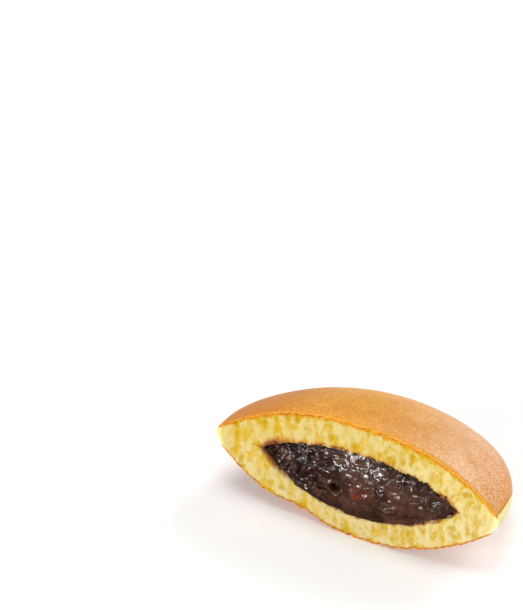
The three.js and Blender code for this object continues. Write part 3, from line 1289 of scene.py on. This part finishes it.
    def rim_point(self, angle: Field, across: Field) -> dict[str, Operand]:
        """Places a point of the pale rim, from the seam to the face's edge.

        Args:
            angle: Angle round the cake, from the middle of the half.
            across: Share of the way up.

        Returns:
            The point's place and marks.
        """
        sine, cosine = self.graph.math("SINE", angle), self.graph.math("COSINE", angle)
        edge = self.edge_radius(angle)
        seam = edge + self.bow(0.0)
        radius = edge + self.bow(across)
        high, share = self.face_height(edge * sine, edge * cosine)
        low = self.pocket_height(seam * sine, seam * cosine)
        z = low + (high - low) * across
        depth = (high - z - self.lap(math.pi / 2 - angle)).most(0.0) * self.BARE_DEPTH
        place = {"x": radius * sine, "y": radius * cosine, "z": z}
        return {**place, "depth": depth, "share": share, "gap": self.FAR, "seam": z - low}


@dataclass
class GriddleCake(CakeSizes):
    """One of the two browned cakes."""

    node: str
    slot: str
    side: Side
    finish: SpongeFinish
    piece: bpy.types.Object | None = field(default=None, init=False)

    def build(self, tree: CakeTree, group: SpongeGroup) -> None:
        """Makes the cake's mesh and dresses it.

        Args:
            tree: The shape tree of a griddle cake.
            group: The shared sponge group.
        """
        sizes = {socket_name(size.name): getattr(self, size.name) for size in fields(CakeSizes)}
        values = {"Side": self.side.value, **sizes, "Material": self.finish.make(group)}
        self.piece = grow(f"{self.node}_baked", tree.tree, values)
        enlist(self.piece, self.node, self.slot)


@dataclass(frozen=True)
class Spot:
    """A place on the cut filling, with its size."""

    x: float
    z: float
    reach: float
    depth: float
    flatness: float = 1.0

    def share(self, graph: ShapeGraph, x: Field, z: Field) -> Field:
        """Gives 1 at the middle of the spot, falling to 0 past its reach; it is squat by its flatness."""
        away = (graph.square(x - self.x) + graph.square((z - self.z) * self.flatness)) / self.reach**2
        return graph.math("EXPONENT", away * away * -1.0)


@dataclass(frozen=True)
class Bean:
    """A bean that shows on the cut: its middle, half sizes, slope, tint and how deep it is sunk."""

    x: float
    z: float
    length: float
    width: float
    slope_deg: float
    tint: float
    sunk: float = 1.2


@dataclass
class BeanFilling:
    """The lens of bean paste, lumpy with beans where it is cut.

    A pair says where something starts and where it is full, in millimetres unless it says otherwise.
    """

    node: str = "bean_filling"
    slot: str = "bean_paste"
    shift: float = 1.45
    reach: float = 31.9
    above: float = 8.5
    below: float = 13.1
    power_above: float = 0.68
    power_below: float = 0.85
    core_columns: int = 96
    core_rows: int = 32
    section_rows: int = 24
    core_weld: float = 0.01
    thin: float = 0.1  # keeps divisions by the lens's thickness finite at its tips
    setback: float = 0.4  # the plain paste lies this far behind the cut
    bulge: float = 3.4  # the cut filling swells out by this much along its ridge
    ridge: float = 0.3  # where the ridge runs, as a share of the depth below the seam
    bulge_fade: float = 9.0

    bean_length: float = 3.6  # half sizes
    bean_width: float = 2.2
    bean_sizes: Pair = (0.7, 1.1)  # least and most share of them
    bean_tilt: float = 0.4
    bean_sunk: Pair = (1.0, 2.9)
    bean_tint: Pair = (0.0, 0.68)
    bean_spacing: float = 4.2
    bean_density: float = 0.4
    bean_spread: float = 0.94  # as a share of the reach
    bean_seed: int = 7
    bean_smoothness: int = 4
    scatter_columns: int = 60
    scatter_rows: int = 20
    bean_skin: Pair = (0.6, 0.2)  # from a bean's surface
    voxel: float = 0.28
    band: float = 3.0  # voxels
    threshold: float = 0.15
    softening: int = 4

    front: Pair = (3.5, 1.2)  # depths behind the cut
    near_cut: Pair = (2.5, 1.0)
    # painted shade deepens over these depths behind the cut
    dark_depth: Pair = (0.8, 2.2)
    warp: float = 3.2
    warp_size: float = 4.0
    lump: float = 1.3
    lump_size: float = 2.4
    lump_share: float = 0.5
    left_lumps: Pair = (-4.0, -14.0)  # along the cut
    left_lump_share: float = 0.25  # added there
    lump_smear: float = 0.6  # shares of the lumps that the smear and the pressing take away
    lump_press: float = 0.5
    wrinkle: float = 0.6
    wrinkle_size: float = 0.9
    wrinkle_smear: float = 0.7
    crease: float = 0.9  # depth of the cracks in the mashed paste
    crack_size: float = 3.6
    crack_width: Pair = (0.09, 0.01)  # levels of the noise
    crack_share: float = 0.5
    crack_press: float = 0.6
    grain: float = 2.4  # size of the mashed paste's grains
    grain_bend: float = 2.0  # wrinkles
    grain_gap: Pair = (0.48, 0.74)  # from a grain's middle, in grains
    open_paste: Pair = (0.0, -14.0)  # along the cut
    least_open: float = 0.25
    dark: float = 0.9  # share of the painted crevice shade in cracks and in the hole

    smear_height: Pair = (5.0, 2.0)  # above the lower edge
    smear_left: Pair = (-22.0, -12.0)  # along the cut
    smear_right: Pair = (13.0, 7.0)
    lip: float = 0.4  # the paste's lower edge stands this far out over the crumb
    recess: float = 0.5  # the upper edge lies this far behind it, up to the ragged right
    recess_height: Pair = (-1.0, 2.0)
    recess_right: Pair = (7.0, 1.0)  # along the cut
    edge_hold: float = 0.75  # share by which the edges keep to that
    flush: Pair = (0.0, 0.3)  # from the edges towards the ridge
    flush_smear: float = 0.7
    spike: float = 3.4  # raggedness of the upper edge
    spike_size: float = 0.9
    spike_right: Pair = (2.0, 14.0)  # along the cut
    spike_left_share: float = 0.3
    spike_everywhere: float = 0.12
    under_top: Pair = (0.5, 0.95)  # shares of the height
    # darkens the upper edge, most to the right, towards the crevice colour
    under_top_dark: float = 0.45
    syrup: Pair = (0.1, 0.32)  # upward part of the normal, from dry to wet

    hole: Spot = Spot(-4.8, -3.4, 1.6, 3.6)
    pressed: Spot = Spot(1.5, 2.6, 9.5, 1.7, 2.2)  # where the knife pressed the paste smooth
    beans: tuple[Bean, ...] = (
        Bean(-23.5, -2.3, 5.0, 2.4, -36.0, 0.2),
        Bean(-8.6, 1.4, 5.0, 2.7, -14.0, 0.1),
        Bean(1.3, 5.8, 3.2, 1.4, -18.0, 0.6, 1.5),
        Bean(3.8, -2.6, 4.4, 1.8, -2.0, 1.0, 0.1),
        Bean(6.4, 1.6, 4.2, 2.6, -10.0, 0.4, 2.4),
        Bean(15.3, 0.2, 5.2, 2.8, -20.0, 0.5),
        Bean(23.2, -1.4, 5.0, 2.4, -10.0, 0.45),
        Bean(-9.6, -7.8, 3.5, 1.8, -25.0, 0.5),
        Bean(13.8, -7.0, 4.0, 1.8, -4.0, 0.15, 0.9),
    )
    finish: PasteFinish = PasteFinish()
    piece: bpy.types.Object | None = field(default=None, init=False)

    def height(self, graph: ShapeGraph, x: Field, y: Operand, side: Side) -> Field:
        """Gives the lens's thickness over a point of the plan, on one side of the seam.

        Args:
            graph: The shape graph.
            x: Along the cut.
            y: From the cut.
            side: Which side of the seam.

        Returns:
            The thickness.
        """
        top = side is Side.TOP
        depth = self.above if top else self.below
        power = self.power_above if top else self.power_below
        share2 = (graph.square(x - self.shift) + graph.square(y)) / self.reach**2
        return depth * (1.0 - share2).most(0.0) ** power

    def core(self, graph: ShapeGraph) -> Field:
        """Makes the plain closed lens, set back from the cut.

        Args:
            graph: The shape graph.

        Returns:
            Its mesh.
        """
        half = math.sqrt(self.reach**2 - self.setback**2)
        sides = []
        for side in Side:
            mesh, along, across = graph.grid(self.core_columns, self.core_rows)
            off = half * graph.math("SINE", along * (math.pi / 2))
            far = graph.math("SQRT", (self.reach**2 - graph.square(off)).most(self.setback**2))
            x, y = off + self.shift, self.setback + (far - self.setback) * across
            skin = graph.place(mesh, graph.vector(x, y, self.height(graph, x, y, side) * side.value))
            sides.append(skin if side is Side.TOP else graph.flip(skin))
        sides.append(self.section(graph, self.core_columns, self.section_rows, half, self.setback))
        return graph.weld(graph.join(*sides), self.core_weld)

    def section(self, graph: ShapeGraph, columns: int, rows: int, half: float, back: float) -> Field:
        """Makes the flat face of the cut lens.

        Args:
            graph: The shape graph.
            columns: Faces along it.
            rows: Faces up it.
            half: Half its length.
            back: How far it lies behind the cut.

        Returns:
            Its mesh.
        """
        mesh, along, across = graph.grid(columns, rows)
        x = self.shift + half * graph.math("SINE", along * (math.pi / 2))
        high = self.height(graph, x, back, Side.TOP)
        low = self.height(graph, x, back, Side.BOTTOM) * -1.0
        return graph.place(mesh, graph.vector(x, back, low + (high - low) * across))

    def ball(self, graph: ShapeGraph) -> Field:
        """Makes a ball to be drawn out into a bean."""
        inputs = {"Radius": 1.0, "Subdivisions": self.bean_smoothness}
        return graph.out(graph.add("GeometryNodeMeshIcoSphere", inputs), "Mesh")

    def placed_bean(self, graph: ShapeGraph, bean: Bean) -> Field:
        """Makes one of the beans that have a place of their own.

        Args:
            graph: The shape graph.
            bean: The bean.

        Returns:
            Its mesh, with its tint.
        """
        angles = (0.0, -math.radians(bean.slope_deg), 0.0)
        size = (bean.length, bean.width, bean.width)
        moved = graph.transform(self.ball(graph), (bean.x, bean.sunk, bean.z), angles, size)
        return graph.store(moved, Mark.TINT, bean.tint)

    def scattered_beans(self, graph: ShapeGraph) -> Field:
        """Scatters beans over the cut, each turned and sunk by chance.

        Args:
            graph: The shape graph.

        Returns:
            The realized beans.
        """
        half = self.reach * self.bean_spread
        spread = {
            "Mesh": self.section(graph, self.scatter_columns, self.scatter_rows, half, 0.0),
            "Distance Min": self.bean_spacing,
            "Density Max": self.bean_density,
            "Seed": self.bean_seed,
        }
        points = graph.add("GeometryNodeDistributePointsOnFaces", spread, distribute_method="POISSON")
        turn_x = graph.chance(-self.bean_tilt, self.bean_tilt, seed=1)
        turn_y = graph.chance(0.0, math.pi, seed=2)
        turn_z = graph.chance(-self.bean_tilt, self.bean_tilt, seed=3)
        size = graph.chance(*self.bean_sizes, seed=4)
        x, y, z = graph.split(graph.position())
        depth = graph.chance(*self.bean_sunk, seed=5)
        depth = depth + self.pressed.depth * self.pressed.share(graph, x, z)
        sunk = graph.place(graph.out(points, "Points"), graph.vector(x, y + depth, z))
        inputs = {
            "Points": graph.store(sunk, Mark.TINT, graph.chance(*self.bean_tint, seed=6)),
            "Instance": self.ball(graph),
            "Rotation": graph.turn(graph.vector(turn_x, turn_y, turn_z)),
            "Scale": graph.vector(size * self.bean_length, size * self.bean_width, size * self.bean_width),
        }
        return graph.realize(graph.out(graph.add("GeometryNodeInstanceOnPoints", inputs), "Instances"))

    def fuse(self, graph: ShapeGraph, mesh: Field) -> Field:
        """Melts overlapping shapes into one soft skin.

        Args:
            graph: The shape graph.
            mesh: The shapes.

        Returns:
            The skin.
        """
        solid = {
            "Mesh": mesh,
            "Density": 1.0,
            "Voxel Size": self.voxel,
            "Interior Band Width": self.voxel * self.band,
        }
        volume = graph.add("GeometryNodeMeshToVolume", solid, resolution_mode="VOXEL_SIZE")
        inputs = {"Volume": volume.outputs["Volume"], "Voxel Size": self.voxel, "Threshold": self.threshold}
        skin = graph.add("GeometryNodeVolumeToMesh", inputs, resolution_mode="VOXEL_SIZE")
        inputs = {"Value": graph.position(), "Iterations": self.softening}
        soft = graph.add("GeometryNodeBlurAttribute", inputs, data_type="FLOAT_VECTOR")
        return graph.place(graph.out(skin, "Mesh"), graph.out(soft, "Value"))

    def mark_beans(self, graph: ShapeGraph, skin: Field, beans: Field, front: Field) -> Field:
        """Stores where beans show, and their tints.

        Args:
            graph: The shape graph.
            skin: The fused filling.
            beans: The beans alone.
            front: 1 at the cut, falling to 0 behind it.

        Returns:
            The filling with these marks.
        """
        near = graph.add("GeometryNodeProximity", {"Target": beans}, target_element="FACES")
        shown = graph.out(near, "Distance").step(*self.bean_skin) * front
        tinted = {"Mesh": beans, "Value": graph.read(Mark.TINT)}
        nearest = graph.add("GeometryNodeSampleNearestSurface", tinted)
        skin = graph.store(skin, Mark.BEAN, shown)
        return graph.store(skin, Mark.TINT, graph.out(nearest, "Value"))

    def shape(self) -> bpy.types.NodeTree:
        """Builds the filling's shape tree.

        Returns:
            The tree.
        """
        graph = ShapeGraph("bean_lens")
        given = graph.receive({"Material": "Material"})
        placed = [self.placed_bean(graph, bean) for bean in self.beans]
        beans = graph.join(self.scattered_beans(graph), *placed)
        skin = self.fuse(graph, graph.join(self.core(graph), beans))

        place = graph.position()
        x, y, z = graph.split(place)
        front = y.step(*self.front)
        ceiling = self.height(graph, x, 0.0, Side.TOP)
        floor = self.height(graph, x, 0.0, Side.BOTTOM)
        smear = (z + floor).step(*self.smear_height) * x.step(*self.smear_left) * x.step(*self.smear_right)
        pressed = self.pressed.share(graph, x, z)
        hole = self.hole.share(graph, x, z)

        coarse = self.lump_share + self.left_lump_share * x.step(*self.left_lumps)
        coarse = coarse * (1.0 - smear * self.lump_smear) * (1.0 - pressed * self.lump_press)
        lumps = graph.sway(place, self.lump_size, seed=12.0) * self.lump * coarse
        wrinkles = graph.sway(place, self.wrinkle_size, detail=1.5, seed=13.0) * self.wrinkle
        wrinkles = wrinkles * (1.0 - smear * self.wrinkle_smear)
        mashed = self.least_open + (1.0 - self.least_open) * x.step(*self.open_paste)
        mashed = mashed * (1.0 - smear) * (1.0 - pressed * self.crack_press)
        crack = graph.math("ABSOLUTE", graph.sway(place, self.crack_size, detail=1.5, seed=18.0))
        crack = crack.step(*self.crack_width) * self.crack_share
        bend = wrinkles * self.grain_bend
        grains = graph.vector((x + bend) / self.grain, y / self.grain, (z - bend) / self.grain)
        from_grain, _ = graph.cells(grains, "3D")
        crack = crack.most(from_grain.step(*self.grain_gap)) * mashed
        right = self.spike_left_share + x.step(*self.spike_right)
        under_top = (z / (ceiling + self.thin)).step(*self.under_top) * right

        # painted shade behind the cut, in cracks and in the hole; the upper edge darkens too
        crevice = y.step(*self.dark_depth).most(crack * self.dark).most(hole * self.dark)
        crevice = crevice.most(under_top * self.under_top_dark)
        skin = self.mark_beans(graph, skin, beans, front)
        skin = graph.store(skin, Mark.SMEAR, smear)
        skin = graph.store(skin, Mark.CREVICE, crevice)
        skin = graph.store(skin, Mark.PRESSED, pressed)

        along = (x - self.shift) / self.reach
        over = z + floor * self.ridge
        up = over / (ceiling + floor * self.ridge + self.thin)
        up = up.most(over / (floor * (self.ridge - 1.0) - self.thin))
        inside = 1.0 - graph.square(up)
        dome = (1.0 - graph.square(along)).most(0.0) * inside.most(0.0)
        bulge = dome * self.bulge * y.step(self.bulge_fade, 0.0)
        lift_x, lift_y, lift_z = graph.split(graph.normal())
        lift = (lumps + wrinkles - crack * self.crease) * front
        warp_x = graph.sway(place, self.warp_size, detail=1.0, seed=16.0) * self.warp * front
        warp_z = graph.sway(place, self.warp_size, detail=1.0, seed=17.0) * self.warp * front
        ragged = graph.sway(place, self.spike_size, detail=1.0, seed=15.0) * self.spike * front
        held = (z + warp_z + lift_z * lift).least(ceiling).most(floor * -1.0)
        held = held + ragged * (under_top + self.spike_everywhere)
        flush = inside.step(*self.flush) * (1.0 - smear * self.flush_smear)
        moved = y + lift_y * lift + self.hole.depth * hole * front
        edge = z.step(*self.recess_height) * x.step(*self.recess_right)
        edge = edge * (self.recess + self.lip) - self.lip
        kept = (edge - moved) * (1.0 - flush) * y.step(*self.near_cut) * self.edge_hold
        skin = graph.place(skin, graph.vector(x + warp_x + lift_x * lift, moved + kept - bulge, held))
        _, _, upward = graph.split(graph.normal())
        skin = graph.store(skin, Mark.UPWARD, upward.step(*self.syrup))
        graph.finish(skin, given["Material"])
        return graph.tree

    def build(self, grain: GrainGroup) -> None:
        """Makes the filling's mesh and dresses it.

        Args:
            grain: The shared grain.
        """
        self.piece = grow("bean_filling_cut", self.shape(), {"Material": self.finish.make(grain)})
        enlist(self.piece, self.node, self.slot)


# Studio


@dataclass(frozen=True)
class SoftLight:
    """A soft light that looks at the food."""

    name: str
    place: tuple[float, float, float]
    size: tuple[float, float]
    power: float  # watts


@dataclass
class Studio:
    """Pale floor, soft lights and the camera."""

    azimuth_deg: float = 27.33
    elevation_deg: float = 36.47
    distance: float = 700.0
    aim_right: float = -27.44
    aim_up: float = 51.25
    lens: float = 139.43
    sensor: float = 36.0
    clip: Pair = (0.01, 20.0)  # metres
    floor_half: float = 3000.0
    floor_tone: Colour = (0.97, 0.97, 0.97)
    floor_roughness: float = 0.8
    floor_specular: float = 0.2
    sky: float = 0.3
    lit_height: float = 15.0  # the lights look at this height over the table
    lights: tuple[SoftLight, ...] = (
        SoftLight("key", (330.0, 760.0, 640.0), (520.0, 520.0), 5.8),
        SoftLight("top", (-80.0, 0.0, 950.0), (500.0, 500.0), 3.0),
        SoftLight("right", (800.0, -250.0, 500.0), (400.0, 400.0), 1.6),
        SoftLight("front_left", (-650.0, -690.0, 190.0), (90.0, 64.0), 3.2),
        SoftLight("front", (-350.0, -880.0, 240.0), (145.0, 124.0), 4.0),
        SoftLight("front_right", (0.0, -910.0, 290.0), (90.0, 80.0), 2.2),
    )

    def axes(self) -> tuple[Vector, Vector, Vector]:
        """Works out how the camera is turned.

        Returns:
            Its right, up and backward directions.
        """
        azimuth, elevation = math.radians(self.azimuth_deg), math.radians(self.elevation_deg)
        level = math.cos(elevation)
        back = Vector((math.sin(azimuth) * level, -math.cos(azimuth) * level, math.sin(elevation)))
        right = Vector((math.cos(azimuth), math.sin(azimuth), 0.0))
        return right, back.cross(right), back

    def set_camera(self) -> None:
        """Makes the camera at the photograph's angle."""
        right, up, back = self.axes()
        place = SEAM_ON_CUT + back * self.distance + right * self.aim_right + up * self.aim_up
        data = bpy.data.cameras.new("camera")
        data.lens = self.lens
        data.sensor_width = self.sensor
        data.clip_start, data.clip_end = self.clip
        camera = bpy.data.objects.new("camera", data)
        turn = Matrix((right, up, back)).transposed().to_4x4()
        camera.matrix_world = Matrix.Translation(place * MM) @ turn
        bpy.context.scene.collection.objects.link(camera)
        bpy.context.scene.camera = camera

    def lay_floor(self) -> None:
        """Makes the floor."""
        half = self.floor_half * MM
        corners = [(-half, -half, 0.0), (half, -half, 0.0), (half, half, 0.0), (-half, half, 0.0)]
        mesh = bpy.data.meshes.new("floor")
        mesh.from_pydata(corners, [], [(0, 1, 2, 3)])
        material, _, shader = new_material("pale_floor")
        shader.inputs["Base Color"].default_value = (*self.floor_tone, 1.0)
        shader.inputs["Roughness"].default_value = self.floor_roughness
        shader.inputs["Specular IOR Level"].default_value = self.floor_specular
        mesh.materials.append(material)
        floor = bpy.data.objects.new("floor", mesh)
        bpy.context.scene.collection.objects.link(floor)

    def hang(self, soft: SoftLight) -> None:
        """Hangs one of the lights.

        Args:
            soft: The light, in millimetres.
        """
        data = bpy.data.lights.new(soft.name, "AREA")
        data.shape = "RECTANGLE"
        data.size, data.size_y = soft.size[0] * MM, soft.size[1] * MM
        data.energy = soft.power
        light = bpy.data.objects.new(soft.name, data)
        place = Vector(soft.place)
        aim = Vector((0.0, 0.0, self.lit_height)) - place
        turn = aim.to_track_quat("-Z", "Y").to_matrix().to_4x4()
        light.matrix_world = Matrix.Translation(place * MM) @ turn
        bpy.context.scene.collection.objects.link(light)

    def build(self) -> None:
        """Sets the camera, the floor and the lights."""
        scene = bpy.context.scene
        scene.view_settings.view_transform = "Standard"
        world = bpy.data.worlds.new("studio")
        world.use_nodes = True
        graph = Graph(world.node_tree)
        world.node_tree.nodes.clear()
        sky = graph.add("ShaderNodeBackground", {"Color": (1.0, 1.0, 1.0, 1.0), "Strength": self.sky})
        graph.add("ShaderNodeOutputWorld", {"Surface": sky.outputs["Background"]})
        scene.world = world
        self.set_camera()
        self.lay_floor()
        for soft in self.lights:
            self.hang(soft)


TOP_TONES = SpongeTones(
    face_light=linear(236, 173, 78),
    face_dark=linear(208, 131, 42),
    face_pale=linear(222, 184, 150),
    line=linear(197, 130, 12),
    line_dark=linear(166, 86, 8),
    crumb=linear(190, 172, 111),
    hollow=linear(182, 146, 16),
    rim=linear(255, 240, 174),
    seam=linear(228, 200, 84),
    stain=linear(92, 38, 14),
)
BOTTOM_TONES = SpongeTones(
    face_light=linear(206, 138, 74),
    face_dark=linear(170, 98, 46),
    face_pale=linear(206, 142, 80),
    line=linear(188, 116, 36),
    line_dark=linear(110, 54, 20),
    crumb=linear(190, 174, 122),
    hollow=linear(184, 150, 34),
    rim=linear(255, 240, 174),
    seam=linear(228, 200, 84),
    stain=linear(92, 38, 14),
)


def main() -> None:
    """Builds the pieces in order and reports them."""
    logging.basicConfig(level=logging.INFO, format="%(name)s: %(message)s")
    grain = GrainGroup()
    sponge = SpongeGroup(grain)
    cake = CakeTree(CakeOutline(), CrumbTree())
    top = GriddleCake(
        node="top_cake", slot="browned_cake", side=Side.TOP, crown=18.6, edge=3.0, edge_radius=45.3,
        dome_power=2.5, fuller=0.34, rim_round=0.8, pocket_depth=8.1, pocket_power=0.68, dent_depth=0.0,
        tip_lap=-0.35, rim_lap=1.8,
        finish=SpongeFinish("browned_cake", TOP_TONES, 1.45),
    )
    bottom = GriddleCake(
        node="bottom_cake", slot="pale_cake", side=Side.BOTTOM, crown=21.0, edge=3.9, edge_radius=44.2,
        dome_power=2.45, fuller=0.0, rim_round=2.0, pocket_depth=12.7, pocket_power=0.85, dent_depth=2.7,
        tip_lap=0.3, rim_lap=0.6,
        finish=SpongeFinish("pale_cake", BOTTOM_TONES, 0.8),
    )
    top.build(cake, sponge)
    bottom.build(cake, sponge)
    BeanFilling().build(grain)
    Studio().build()


if __name__ == "__main__":
    main()
